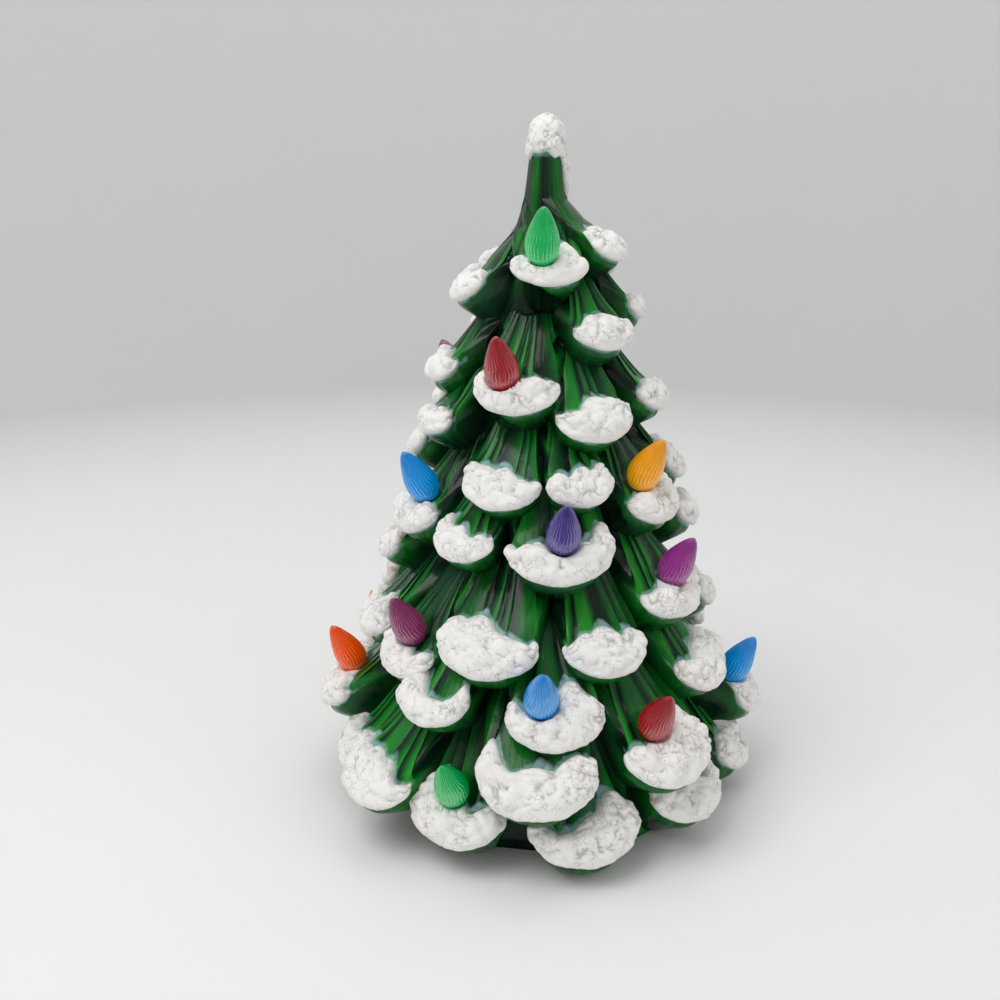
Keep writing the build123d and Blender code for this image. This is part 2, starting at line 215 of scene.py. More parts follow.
def cell_lumps(points, size, seed):
    """Distance to the nearest and to the second nearest of scattered points, one for each cube of a size."""
    place = points / size
    cube = np.floor(place).astype(np.int64)
    nearest = np.full(len(points), FAR)
    second = np.full(len(points), FAR)
    for step in np.ndindex(3, 3, 3):
        near = cube + np.array(step) - 1
        mixed = (near * CUBE_MIX).sum(1) + seed * SEED_MIX
        jitter = np.stack([scatter((mixed + AXIS_STEP * axis) % MIX_LIMIT) for axis in range(3)], 1)
        away = np.linalg.norm(near + 0.5 + JITTER * jitter - place, axis=1)
        second = np.minimum(second, np.maximum(nearest, away))
        nearest = np.minimum(nearest, away)
    return nearest, second


def grid_faces(rows, columns):
    """Quads of a grid whose points are laid out row by row."""
    first = (np.arange(rows - 1)[:, None] * columns + np.arange(columns - 1)).ravel()
    return np.stack([first, first + columns, first + columns + 1, first + 1], 1)


def rim_fan(rows, columns, centre):
    """Triangles from a grid's rim to one centre point behind it, which close the grid."""
    index = np.arange(rows * columns).reshape(rows, columns)
    rim = np.concatenate([index[0, :-1], index[:-1, -1], index[-1, :0:-1], index[:0:-1, 0]])
    return np.stack([rim, np.roll(rim, -1), np.full(len(rim), centre)], 1)


def turned_faces(rows, columns):
    """Quads of a turned shape: each row of points is a closed ring."""
    index = np.arange(rows * columns).reshape(rows, columns)
    after = np.roll(index, -1, axis=1)
    return np.stack([index[:-1], after[:-1], after[1:], index[1:]], -1).reshape(-1, 4)


def pole_fan(ring, pole):
    """Triangles from a ring of points to a pole."""
    return np.stack([ring, np.roll(ring, -1), np.full(len(ring), pole)], 1)


def capped_faces(rows, columns):
    """Quads and triangles of a turned shape from its top ring down, with the poles of its first and of its
    last ring as the two points after the rings."""
    count = rows * columns
    first_ring = np.arange(columns)
    last_ring = first_ring + count - columns
    triangles = np.concatenate([pole_fan(first_ring, count), pole_fan(last_ring, count + 1)[:, ::-1]])
    return turned_faces(rows, columns)[:, ::-1], triangles


def turned_points(radius, around, height):
    """Points at a radius, an angle round the upright axis and a height."""
    return np.stack([radius * np.cos(around), radius * np.sin(around), height], -1).reshape(-1, 3)


def ring_turns(columns):
    """Angles of the points of a ring, evenly all round."""
    return np.linspace(0, 2 * math.pi, columns, endpoint=False)


# Meshes

def new_piece(name, points, quads, triangles, materials, body, slot, attributes=None, face_material=None):
    """Puts points in millimetres, kept in the box of the solids, and their faces into a mesh that rides on a
    body. A plain attribute has one number for each point, and the grain of the glaze three."""
    points = np.clip(points * MM, *cad_box)
    mesh = bpy.data.meshes.new(name)
    mesh.vertices.add(len(points))
    mesh.vertices.foreach_set("co", np.asarray(points, np.float32).ravel())
    corners = np.concatenate([quads.ravel(), triangles.ravel()]).astype(np.int32)
    mesh.loops.add(len(corners))
    mesh.loops.foreach_set("vertex_index", corners)
    starts = np.concatenate([4 * np.arange(len(quads)), 4 * len(quads) + 3 * np.arange(len(triangles))])
    mesh.polygons.add(len(starts))
    mesh.polygons.foreach_set("loop_start", starts.astype(np.int32))
    mesh.polygons.foreach_set("use_smooth", np.ones(len(starts), bool))
    if face_material is not None:
        mesh.polygons.foreach_set("material_index", np.asarray(face_material, np.int32))
    for key, values in (attributes or {}).items():
        if values.ndim == 1:
            plain = mesh.attributes.new(key, "FLOAT", "POINT")
            plain.data.foreach_set("value", np.asarray(values, np.float32))
        else:
            grain = mesh.attributes.new(key, "FLOAT_VECTOR", "POINT")
            grain.data.foreach_set("vector", np.asarray(values, np.float32).ravel())
    mesh.update(calc_edges=True)
    mesh.validate()
    for material in materials:
        mesh.materials.append(material)
    piece = bpy.data.objects.new(name, mesh)
    bpy.context.scene.collection.objects.link(piece)
    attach(piece, body)
    return piece


class Gathered:
    """Points, faces and attributes of several closed surfaces that make one piece."""

    def __init__(self):
        self.points, self.quads, self.triangles, self.attributes, self.count = [], [], [], {}, 0

    def add(self, points, quads, triangles, **attributes):
        """Takes one more surface, with its faces counted on from the points so far."""
        self.points.append(points)
        self.quads.append(quads + self.count)
        self.triangles.append(triangles + self.count)
        for key, values in attributes.items():
            self.attributes.setdefault(key, []).append(values)
        self.count += len(points)

    def piece(self, name, materials, body, slot):
        """The piece that they make."""
        joined = {key: np.concatenate(values) for key, values in self.attributes.items()}
        parts = (np.concatenate(part) for part in (self.points, self.quads, self.triangles))
        return new_piece(name, *parts, materials, body, slot, joined)


# Branches, their snow and the seats of the bulbs

class Branch:
    """Sizes of one branch, its folds and the outline of its snow."""

    def __init__(self, row, place, row_reach, azimuth, height_share, size_share):
        self.row, self.place = row, place
        draw = np.random.default_rng(1000 * row + place)
        turn = math.radians(azimuth)
        self.out = np.array([math.sin(turn), -math.cos(turn), 0.0])
        self.side = np.array([math.cos(turn), math.sin(turn), 0.0])
        self.lip = (LIP_FOOT + (LIP_PEAK - LIP_FOOT) * height_share) * row_reach
        self.height = TREE_HEIGHT * height_share
        length = LENGTH_FOOT + (LENGTH_PEAK - LENGTH_FOOT) * height_share
        half_width = HALF_WIDTH_FOOT + (HALF_WIDTH_PEAK - HALF_WIDTH_FOOT) * height_share
        self.length, self.half_width = length * math.sqrt(size_share), half_width * size_share
        self.blade_count = draw.uniform(4.0, 5.4)
        self.blade_start = draw.uniform(0, 1)
        self.blade_wander = draw.uniform(-0.4, 0.4)
        self.blade_lean = draw.choice([-1.0, 1.0])
        self.waves = draw.uniform(0, 2 * math.pi, 8)
        # Snow: lower and upper edge along the branch, reach to each side, and the shape of the upper edge
        self.snow_low = draw.uniform(0.738, 0.756)
        self.snow_high = draw.uniform(0.45, 0.475)
        self.snow_middle = draw.uniform(-0.03, 0.03)
        self.snow_reach = draw.uniform(0.88, 0.96)
        self.snow_top = SNOW_TOPS.get((row, place), tuple(draw.uniform(0.6, 1.4, len(SNOW_KNOTS))))

    def place_points(self, x, y, h):
        """Points from a branch's own frame: x outwards from the lip and drooping, y sideways, h up. None lies
        further in than the middle of the trunk's wall."""
        radial = self.lip + x * math.cos(DROOP) + h * math.sin(DROOP)
        height = self.height - x * math.sin(DROOP) + h * math.cos(DROOP)
        in_wall = np.maximum(spire_radius(height) - WALL / 2, 0)
        radial = np.maximum(radial, np.sqrt(np.maximum(in_wall ** 2 - y ** 2, 0)))
        upright = np.array([0, 0, 1.0])
        return radial[..., None] * self.out + y[..., None] * self.side + height[..., None] * upright

    def blades(self, across, along):
        """Height of the leaf blades, 0 in a crease to 1 on a crest, and each blade's shade of green: saw
        teeth that fan out from the root, wander, overlap and fade out on the spire."""
        wander = self.blade_wander * along + 0.2 * np.sin(5 * along + self.waves[0] + 2.5 * across)
        fanned = across / (0.55 + 0.7 * along)
        phase = fanned * self.blade_lean * self.blade_count / 2 + self.blade_start + wander
        phase = phase + 0.3 * np.sin(2.2 * phase + self.waves[1])
        blade = np.floor(phase)
        step = phase - blade
        tooth = ease(0.0, 0.2, step) * (1 - ease(0.3, 1.0, step) * 0.9)
        rise = self.height + smooth_curve(RISE, along) * self.length
        bare = 0.85 * ease(222, 238, rise)
        tooth = tooth + (0.55 - tooth) * bare
        shade = 0.55 + 0.6 * np.abs(scatter(blade, self.waves[2]))
        return tooth, shade + (1 - shade) * bare

    def grain(self, across, along):
        """Place on the surface for the brush streaks: narrow across and long down the branch, and with the
        branch's own number, so that no two are alike."""
        streak_width, streak_length = 1.5, 13.0
        down = along * WAY_OVER * self.length / streak_length + 0.2 * np.sin(3 * across + self.waves[2])
        number = 10.0 * self.row + self.place
        return np.stack([across * self.half_width / streak_width, down, 0 * down + number], -1).reshape(-1, 3)

    def surface(self, across, along, folded=True):
        """Points of the branch: sections with a round folded front that dip to it, so that a lip's ends lie
        higher than its middle, and with sides that run back to the trunk."""
        rise = smooth_curve(RISE, along) * self.length
        reach = smooth_curve(REACH_FLARED if self.row == 1 else REACH, along)
        width = smooth_curve(WIDTH, along) * self.half_width
        turn = np.clip(across / FRONT_SHARE, -1, 1) * math.pi / 2
        back = np.clip(np.abs(across) - FRONT_SHARE, 0, 1) / (1 - FRONT_SHARE)
        front = (spire_radius(self.height + rise) - self.lip) * (1 - reach)
        root = (self.lip - trunk_radius(self.height)) * ROOT_SHARE
        swell = 1.0
        if folded:
            depth = FOLD_MM * smooth_curve(FOLD_DEPTH, along) * (self.half_width / USUAL_HALF_WIDTH)
            swell = 1 - depth * (1 - self.blades(across, along)[0]) / self.half_width
        behind = width * DEPTH_SHARE * (1 - swell * np.cos(turn)) + back * root
        y = width * swell * np.sin(turn)
        return self.place_points(front - behind * math.cos(TILT), y, rise + behind * math.sin(TILT))

    def snow_edges(self, u):
        """Lower and upper edge of the snow at u across, from -1 to 1: a blunt lens round the lip, uneven and
        scalloped above by its own knots and two rows of arches."""
        span = (1 - np.abs(u) ** 3.4) ** 0.5
        wide_arch = np.abs(np.sin(2.4 * u + self.waves[3]))
        small_arch = np.abs(np.sin(5.3 * u + self.waves[4]))
        rag = 0.26 * wide_arch + 0.14 * small_arch - 0.2
        sag = 0.05 * np.sin(4 * u + self.waves[6]) + 0.04 * np.sin(9 * u + self.waves[7])
        top = smooth_curve(list(zip(SNOW_KNOTS, self.snow_top)), u) * (1 - 0.45 * u ** 2)
        low = LIP_ALONG + (self.snow_low - LIP_ALONG) * span * (1 + sag)
        high = LIP_ALONG - (LIP_ALONG - self.snow_high) * span * (top + rag)
        return low, high

    def snow_distance(self, across, along):
        """Distance in millimetres from the snow, roughly, and 0 under it."""
        u = (across - self.snow_middle) / (self.snow_reach * FRONT_SHARE)
        low, high = self.snow_edges(np.clip(u, -1, 1))
        beyond = np.maximum(along - low, high - along) * WAY_OVER * self.length
        sideways = (np.abs(u) - 1) * self.half_width
        return np.maximum(np.maximum(beyond, sideways), 0)


class Seat:
    """Place and axis of a bulb on the slope of its branch."""

    def __init__(self, branch, height_share, side_share):
        down = (SLOPE_TOP[0] - height_share) / (SLOPE_TOP[0] - SLOPE_FOOT[0])
        reach = SLOPE_TOP[1] + (SLOPE_FOOT[1] - SLOPE_TOP[1]) * down
        half_width = branch.half_width * (SLOPE_TOP[2] + (SLOPE_FOOT[2] - SLOPE_TOP[2]) * down)
        rise = height_share * branch.length
        front = (trunk_radius(branch.height + rise) - branch.lip) * (1 - reach)
        behind = half_width * DEPTH_SHARE * (1 - math.sqrt(1 - side_share ** 2))
        self.axis = math.sin(BULB_LEAN) * branch.out + np.array([0, 0, math.cos(BULB_LEAN)])
        self.side = branch.side
        self.front = np.cross(self.side, self.axis)
        x, up = front - behind * math.cos(TILT), rise + behind * math.sin(TILT)
        self.origin = branch.place_points(np.array(x), np.array(half_width * side_share), np.array(up))
        self.origin = self.origin - SEAT_SINK * self.axis

    def place_points(self, x, y, up):
        """Points from a bulb's own frame: up along its axis."""
        return self.origin + x[..., None] * self.side + y[..., None] * self.front + up[..., None] * self.axis

    def settle(self, points, mound, floor):
        """Keeps points under the bulb and out of its way, and drops those over the peg hole to a floor. With
        mound, points near the axis are also drawn to the seat, less and less towards the mound's foot."""
        offset = points - self.origin
        up = offset @ self.axis
        away = np.linalg.norm(offset - up[:, None] * self.axis, axis=1)
        near = (np.abs(up) < SEAT_DEPTH) & (away < SEAT_REACH)
        settled = up
        if mound:
            settled = up + (-SEAT_DIP - up) * (1 - ease(SEAT_RIM, MOUND_RIM, away))
        neck = BULB_RADIUS * BULB_PROFILE[0][1] + NECK_ROOM
        belly = BULB_RADIUS + BELLY_ROOM
        room = np.interp(away, [0, neck, belly, belly + 0.01], [-SEAT_DIP, -SEAT_DIP, BELLY_UP, CLEAR_UP])
        settled = np.minimum(settled, room)
        settled = np.where(away < HOLE_RADIUS + HOLE_EDGE, -PEG_LENGTH - floor, settled)
        settled = np.where(near, settled, up)
        return points + (settled - up)[:, None] * self.axis


branches = [
    [Branch(row, place, row_reach, *shares) for place, shares in enumerate(row_shares, start=1)]
    for row, (row_reach, row_shares) in enumerate(BRANCH_ROWS, start=1)
]
seats = {
    (row, place): Seat(branches[row - 1][place - 1], *shares) for colour, row, place, *shares in BULBS
}


# Finishes

class Finish:
    """A material and short ways to add its nodes."""

    def __init__(self, name, **settings):
        self.material = bpy.data.materials.new(name)
        self.material.use_nodes = True
        self.tree = self.material.node_tree
        self.shader = self.tree.nodes["Principled BSDF"]
        for socket, value in settings.items():
            self.shader.inputs[socket.replace("_", " ")].default_value = value
        self.where = self.tree.nodes.new("ShaderNodeTexCoord").outputs["Object"]

    def link(self, out, socket):
        """Joins an output to a socket."""
        self.tree.links.new(out, socket)

    def shade(self, out, socket):
        """Joins an output to a socket of the shader."""
        self.tree.links.new(out, self.shader.inputs[socket])

    def attribute(self, name):
        """A piece's attribute: the grain is a place, the others are numbers."""
        node = self.tree.nodes.new("ShaderNodeAttribute")
        node.attribute_name = name
        return node.outputs["Vector" if name == "grain" else "Fac"]

    def noise(self, scale, detail=3.0, roughness=0.5, where=None):
        """Cloudy noise with a number of spots to the metre."""
        node = self.tree.nodes.new("ShaderNodeTexNoise")
        node.inputs["Scale"].default_value = scale
        node.inputs["Detail"].default_value = detail
        node.inputs["Roughness"].default_value = roughness
        self.link(where or self.where, node.inputs["Vector"])
        return node.outputs["Fac"]

    def cracks(self, scale, bend_scale, bend):
        """Distance to the nearest wall between scattered cells, whose walls a noise bends."""
        noise = self.tree.nodes.new("ShaderNodeTexNoise")
        noise.inputs["Scale"].default_value = bend_scale
        self.link(self.where, noise.inputs["Vector"])
        bent = self.tree.nodes.new("ShaderNodeVectorMath")
        bent.operation = "MULTIPLY_ADD"
        self.link(noise.outputs["Color"], bent.inputs[0])
        bent.inputs[1].default_value = (bend, bend, bend)
        self.link(self.where, bent.inputs[2])
        cells = self.tree.nodes.new("ShaderNodeTexVoronoi")
        cells.feature = "DISTANCE_TO_EDGE"
        cells.inputs["Scale"].default_value = scale
        self.link(bent.outputs[0], cells.inputs["Vector"])
        return cells.outputs["Distance"]

    def math(self, operation, first, second):
        """A sum of two outputs or numbers."""
        node = self.tree.nodes.new("ShaderNodeMath")
        node.operation = operation
        for socket, value in zip(node.inputs, (first, second)):
            if isinstance(value, (int, float)):
                socket.default_value = value
            else:
                self.link(value, socket)
        return node.outputs[0]

    def ramp(self, value, stops):
        """Colours by a value, blended between stops."""
        node = self.tree.nodes.new("ShaderNodeValToRGB")
        elements = node.color_ramp.elements
        while len(elements) < len(stops):
            elements.new(0.5)
        for element, (place, colour) in zip(elements, stops):
            element.position = place
            element.color = (*colour, 1.0)
        self.link(value, node.inputs["Fac"])
        return node.outputs["Color"]

    def mix(self, share, first, second):
        """A share of the second colour over the first."""
        node = self.tree.nodes.new("ShaderNodeMix")
        node.data_type = "RGBA"
        factor, under, over = node.inputs[0], node.inputs[6], node.inputs[7]
        for socket, value in ((factor, share), (under, first), (over, second)):
            if isinstance(value, tuple):
                socket.default_value = (*value, 1.0)
            else:
                self.link(value, socket)
        return node.outputs[2]

    def bump(self, height, strength, distance):
        """Fine unevenness of the surface, with its depth in metres."""
        node = self.tree.nodes.new("ShaderNodeBump")
        node.inputs["Strength"].default_value = strength
        node.inputs["Distance"].default_value = distance
        self.link(height, node.inputs["Height"])
        self.shade(node.outputs["Normal"], "Normal")


def grey(value):
    """A grey as a colour that a ramp takes."""
    return (value, value, value)


def make_glaze():
    """Deep green glass over clay: lighter on the blades' crests and near black in their creases, under the
    lips and between the branches, partly thin and thick glaze and partly painted light and shade, greyer in
    random patches and milky beside the snow."""
    finish = Finish("green_glaze", Roughness=0.13, Specular_IOR_Level=0.2)
    streaks = finish.noise(1.0, 4, 0.6, finish.attribute("grain"))
    uneven = finish.math("ADD", finish.noise(70, 3), finish.math("MULTIPLY", streaks, 1.4))
    # painted light on the crests and painted shade in the creases, under the lips and between branches, over
    # thin and thick glaze
    thick_glaze_and_shade = finish.math("ADD", finish.attribute("ridge"), finish.math("MULTIPLY", uneven, 0.5))
    thick_glaze_and_shade = finish.math("SUBTRACT", thick_glaze_and_shade, 0.6)
    green = finish.ramp(thick_glaze_and_shade, [
        (0.0, (0.002, 0.007, 0.005)), (0.25, (0.002, 0.03, 0.007)), (0.6, (0.003, 0.12, 0.011)),
        (1.0, (0.014, 0.26, 0.02)),
    ])
    # greyer in random patches
    grey_patches = finish.ramp(finish.noise(38, 2), [(0.5, grey(0.0)), (0.68, grey(0.4))])
    green = finish.mix(grey_patches, green, (0.02, 0.07, 0.045))
    milky = finish.math("MULTIPLY", finish.attribute("frost"), finish.noise(260, 3))
    milky = finish.ramp(milky, [(0.2, grey(0.0)), (0.5, grey(0.75))])
    finish.shade(finish.mix(milky, green, (0.3, 0.52, 0.5)), "Base Color")
    finish.bump(streaks, 0.3, 0.0008)
    return finish.material


def make_snow():
    """Fired white crust: chalky, with grey cracks between its lumps, crazed in places with hairlines, and
    with small dark specks."""
    finish = Finish("snow", Roughness=0.85, Specular_IOR_Level=0.25)
    cracked = finish.ramp(finish.attribute("crack"), [
        (0.0, (0.48, 0.45, 0.41)), (0.5, (0.79, 0.775, 0.75)), (1.0, (0.9, 0.875, 0.855)),
    ])
    hairline = finish.ramp(finish.cracks(230, 300, 0.004), [(0.0, grey(1.0)), (0.04, grey(0.0))])
    crazed = finish.ramp(finish.noise(85, 2), [(0.46, grey(0.0)), (0.56, grey(0.75))])
    lined = finish.mix(finish.math("MULTIPLY", hairline, crazed), cracked, (0.4, 0.37, 0.33))
    speck = finish.ramp(finish.noise(1300, 1), [(0.25, grey(0.8)), (0.29, grey(0.0))])
    finish.shade(finish.mix(speck, lined, (0.42, 0.38, 0.33)), "Base Color")
    finish.bump(finish.noise(650, 4, 0.6), 0.4, 0.0005)
    return finish.material


def make_bisque():
    """Unglazed clay inside the casting."""
    finish = Finish("bisque", Roughness=0.9)
    clay = finish.ramp(finish.noise(120, 5), [(0.3, (0.62, 0.57, 0.5)), (0.7, (0.74, 0.7, 0.64))])
    finish.shade(clay, "Base Color")
    finish.bump(finish.noise(500, 3), 0.3, 0.0004)
    return finish.material


# Colour of the bulbs between the ribs and on them: the deep one stands for painted shade, the bright one for
# painted light
BULB_COLOURS = {
    "green": ((0.0, 0.16, 0.03), (0.0, 0.55, 0.13)),
    "red": ((0.08, 0.0, 0.003), (0.42, 0.003, 0.015)),
    "amber": ((0.45, 0.13, 0.0), (0.95, 0.42, 0.005)),
    "magenta": ((0.1, 0.004, 0.09), (0.34, 0.03, 0.28)),
    "blue": ((0.0, 0.07, 0.3), (0.0, 0.32, 0.8)),
    "purple": ((0.01, 0.003, 0.08), (0.05, 0.02, 0.26)),
    "mauve": ((0.07, 0.005, 0.04), (0.27, 0.03, 0.13)),
    "orange": ((0.42, 0.015, 0.0), (0.98, 0.11, 0.0)),
}


def make_bulb_plastic(colour):
    """Clear coloured plastic with painted light: bright low down and on the ribs as painted glow and
    highlights, deep between the ribs and at the tip as painted shade, and a faint painted glow of its own.
    """
    deep, bright = BULB_COLOURS[colour]
    # The emission is a painted glow: the bulbs hold no lamp.
    finish = Finish("bulb_" + colour, Roughness=0.2, Transmission_Weight=0.15, IOR=1.49,
                    Specular_IOR_Level=0.3, Emission_Strength=0.12)
    painted_glow_and_mottle = finish.math("ADD", finish.attribute("glow"), finish.math("MULTIPLY", finish.noise(420, 2), 0.3))
    tint_and_painted_glow = finish.ramp(painted_glow_and_mottle, [(0.2, deep), (0.95, bright)])
    finish.shade(tint_and_painted_glow, "Base Color")
    finish.shade(tint_and_painted_glow, "Emission Color")
    finish.bump(finish.noise(900, 2), 0.1, 0.0003)
    return finish.material


def make_studio_paper():
    """Pale seamless paper, a little greyer up the wall as painted shade."""
    finish = Finish("studio_paper", Roughness=0.75)
    wall_shade_height = finish.tree.nodes.new("ShaderNodeSeparateXYZ")
    finish.link(finish.where, wall_shade_height.inputs[0])
    # painted shade: the wall darker than the floor, darkest just above it
    paper = finish.ramp(wall_shade_height.outputs["Z"], [(0.0, grey(0.88)), (0.05, grey(0.62)), (0.6, grey(0.72))])
    faint = finish.math("MULTIPLY", finish.noise(3, 2), 0.08)
    finish.shade(finish.mix(faint, paper, grey(0.8)), "Base Color")
    return finish.material


glaze, snow, bisque = make_glaze(), make_snow(), make_bisque()
bulb_plastics = {colour: make_bulb_plastic(colour) for colour in BULB_COLOURS}


# Pieces

def make_branch(branch):
    """A branch as a closed surface: the grid of its front, with its rim drawn to one point inside the trunk's
    wall. The green follows the blades, lighter on their crests and darker in their creases, partly thin and
    thick glaze and partly painted light and shade, with painted shade towards both roots, under the lip and
    down its sides, and the smooth rim of the lip has one shade."""
    along, across = np.meshgrid(np.linspace(0, 1, BRANCH_LINES), np.linspace(-1, 1, BRANCH_COLUMNS),
                                indexing="ij")
    points = branch.surface(across, along).reshape(-1, 3)
    seat = seats.get((branch.row, branch.place))
    if seat:
        points = seat.settle(points, mound=True, floor=CLAY_FLOOR)
    centre = np.array([[0, 0, branch.height]]) + branch.out * (trunk_radius(branch.height) - WALL / 2)
    rim = ease(0.66, 0.76, along)
    tooth, shade = branch.blades(across, along)
    # painted light and shade: lighter on the blades' crests, darker in their creases, towards both roots,
    # under the lip and down the sides between branches
    ridge = tooth * shade * (1 - rim) + 0.65 * rim
    ridge = ridge * smooth_curve(GREEN_AND_SHADE_ALONG, along) * (1 - 0.8 * ease(0.8, 1.0, np.abs(across)))
    frost = np.clip(1 - branch.snow_distance(across, along) / FROST_WIDTH, 0, 1)
    quads = grid_faces(BRANCH_LINES, BRANCH_COLUMNS)
    triangles = rim_fan(BRANCH_LINES, BRANCH_COLUMNS, len(points))
    return (np.concatenate([points, centre]), quads, triangles,
            {"ridge": np.append(ridge.ravel(), 0), "frost": np.append(frost.ravel(), 0),
             "grain": np.append(branch.grain(across, along), np.zeros((1, 3)), axis=0)})


def snow_lumps(points):
    """Height in millimetres and crack shade of snow at some points: round lumps between winding creases,
    small ones on part of them, by the gap between the nearest and second nearest of scattered points."""
    wide_wind, small_wind = points[:, [1, 2, 0]], points[:, [2, 0, 1]]
    warped = points + 1.3 * np.sin(0.8 * wide_wind + 1.0) + 0.5 * np.sin(1.9 * small_wind)
    near, next_near = cell_lumps(warped, LUMP_SIZE, 1)
    small_near, small_next = cell_lumps(warped, SMALL_LUMP_SIZE, 2)
    patch = ease(0.3, 0.7, cell_lumps(points, PATCH_SIZE, 3)[0])
    broken = ease(0.3, 0.6, cell_lumps(points, CRACKED_SIZE, 4)[0])
    lump = np.sqrt(np.clip((next_near - near) / 0.75, 0, 1)) + 0.8 * np.clip(1 - (near / 0.8) ** 2, 0, 1)
    small_lump = np.sqrt(np.clip((small_next - small_near) / 0.7, 0, 1))
    height = 1.7 * lump + (0.25 + 0.75 * patch) * small_lump - 2.0
    crack = 1 - broken * (1 - ease(0.0, 0.1, next_near - near))
    crack = np.minimum(crack, 1 - patch * broken * (1 - ease(0.0, 0.16, small_next - small_near)))
    return height, crack


def make_snow_crust(branch):
    """Snow on a lip: a blunt lens on the branch's surface, raised along its normal by round lumps and tucked
    in at its edge, closed behind by one point inside the branch. Its grid is finer towards the edge."""
    v, u = np.meshgrid(0.5 - 0.5 * np.cos(math.pi * np.linspace(0, 1, SNOW_LINES)),
                       np.sin(math.pi / 2 * np.linspace(-1, 1, SNOW_COLUMNS)), indexing="ij")
    low, high = branch.snow_edges(u)
    along = low + (high - low) * v
    across = branch.snow_middle + u * branch.snow_reach * FRONT_SHARE
    step = 0.004
    sideways = branch.surface(across + step, along, False) - branch.surface(across - step, along, False)
    upwards = branch.surface(across, along - step, False) - branch.surface(across, along + step, False)
    normal = np.cross(sideways, upwards)
    normal = normal / np.linalg.norm(normal, axis=-1, keepdims=True)
    flat = branch.surface(across, along, False).reshape(-1, 3)
    height, crack = snow_lumps(flat)
    lumpy = (0.45 + 0.55 * ease(0.1, 0.6, v)).ravel()
    edge = ((1 - np.abs(2 * v - 1) ** 4) * (1 - np.abs(u) ** 7)).ravel() ** 0.5
    size = 0.4 + 0.6 * branch.half_width / USUAL_HALF_WIDTH
    thick = edge * size * (SNOW_THICKNESS + lumpy * height) - SNOW_TUCK * (1 - edge)
    points = flat + normal.reshape(-1, 3) * thick[:, None]
    seat = seats.get((branch.row, branch.place))
    if seat:
        points = seat.settle(points, mound=False, floor=SNOW_FLOOR)
    inner_along, inner_depth = 0.62, 6.0
    inner = branch.surface(np.array([branch.snow_middle]), np.array([inner_along]), False)
    inner = inner - branch.out * inner_depth
    crack = 1 - (1 - crack) * ease(0.15, 0.4, v).ravel()
    quads = grid_faces(SNOW_LINES, SNOW_COLUMNS)[:, ::-1]
    triangles = rim_fan(SNOW_LINES, SNOW_COLUMNS, len(points))[:, ::-1]
    return np.concatenate([points, inner]), quads, triangles, {"crack": np.append(crack, 1)}


for number, row in enumerate(branches, start=1):
    gathered_branches, gathered_snow = Gathered(), Gathered()
    for branch in row:
        points, quads, triangles, attributes = make_branch(branch)
        gathered_branches.add(points, quads, triangles, **attributes)
        points, quads, triangles, attributes = make_snow_crust(branch)
        gathered_snow.add(points, quads, triangles, **attributes)
    branch_row = gathered_branches.piece(f"branch_row_{number}", [glaze], "tree", "green_glaze")
    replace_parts(branch_row, "tree_shell")
    snow_crust = gathered_snow.piece(f"snow_crust_row_{number}", [snow], "tree", "snow")
    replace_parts(snow_crust, f"snow_row_{number}")


def make_trunk():
    """Trunk, spire, foot ring and the room inside: one profile turned round the axis, from the tip down, in
    through the foot and up again, with folds down its outside."""
    spire_heights = np.linspace(SPIRE_START, SPIRE_TOP, 41)[1:]
    outer_heights = np.concatenate([np.linspace(0, SPIRE_START, 60), spire_heights])[::-1]
    inner_heights = np.linspace(ROOM_TOP, FOOT_HEIGHT, 40)[::-1]
    inner_radii = np.maximum(spire_radius(inner_heights) - WALL, 1.0)
    heights = np.concatenate([outer_heights, [0.0, FOOT_HEIGHT], inner_heights])
    radii = np.concatenate([spire_radius(outer_heights), [BORE_RADIUS, BORE_RADIUS], inner_radii])
    outer = np.arange(len(heights)) < len(outer_heights)
    height, around = np.meshgrid(heights, ring_turns(TRUNK_COLUMNS), indexing="ij")
    folds = 0.5 + 0.5 * np.cos(5 * (around + math.pi / 2) + 0.6 * np.sin(3 * around))
    folds = folds ** 1.6 * 0.8 + 0.2 * (0.5 + 0.5 * np.cos(11 * around + 1.3))
    radius = radii[:, None] - outer[:, None] * folds * np.interp(height, *zip(*TRUNK_FOLDS))
    points = turned_points(radius, around, height)
    poles = np.array([[0, 0, SPIRE_TOP + 0.5], [0, 0, ROOM_TOP + 1]])
    quads, triangles = capped_faces(len(heights), TRUNK_COLUMNS)
    # painted shade: darker in the folds, partly thick glaze, and behind the branches; painted light on the
    # foot ring
    ridge = (1 - folds) * np.interp(height, *zip(*TRUNK_GREEN_AND_SHADING))
    frost = np.interp(height, [262, 265], [0, 1])
    grain = turned_points(12, around, height / 13)[:, [0, 2, 1]]
    bare = np.concatenate([np.repeat(~outer[1:], TRUNK_COLUMNS), np.zeros(TRUNK_COLUMNS),
                           np.ones(TRUNK_COLUMNS)])  # faces of bare clay
    attributes = {"ridge": np.append(ridge.ravel(), [0.5, 0]), "frost": np.append(frost.ravel(), [1, 0]),
                  "grain": np.append(grain, np.zeros((2, 3)), axis=0)}
    return new_piece("trunk_and_spire", np.concatenate([points, poles]), quads, triangles, [glaze, bisque],
                     "tree", "green_glaze", attributes, bare)


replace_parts(make_trunk(), "tree_shell")


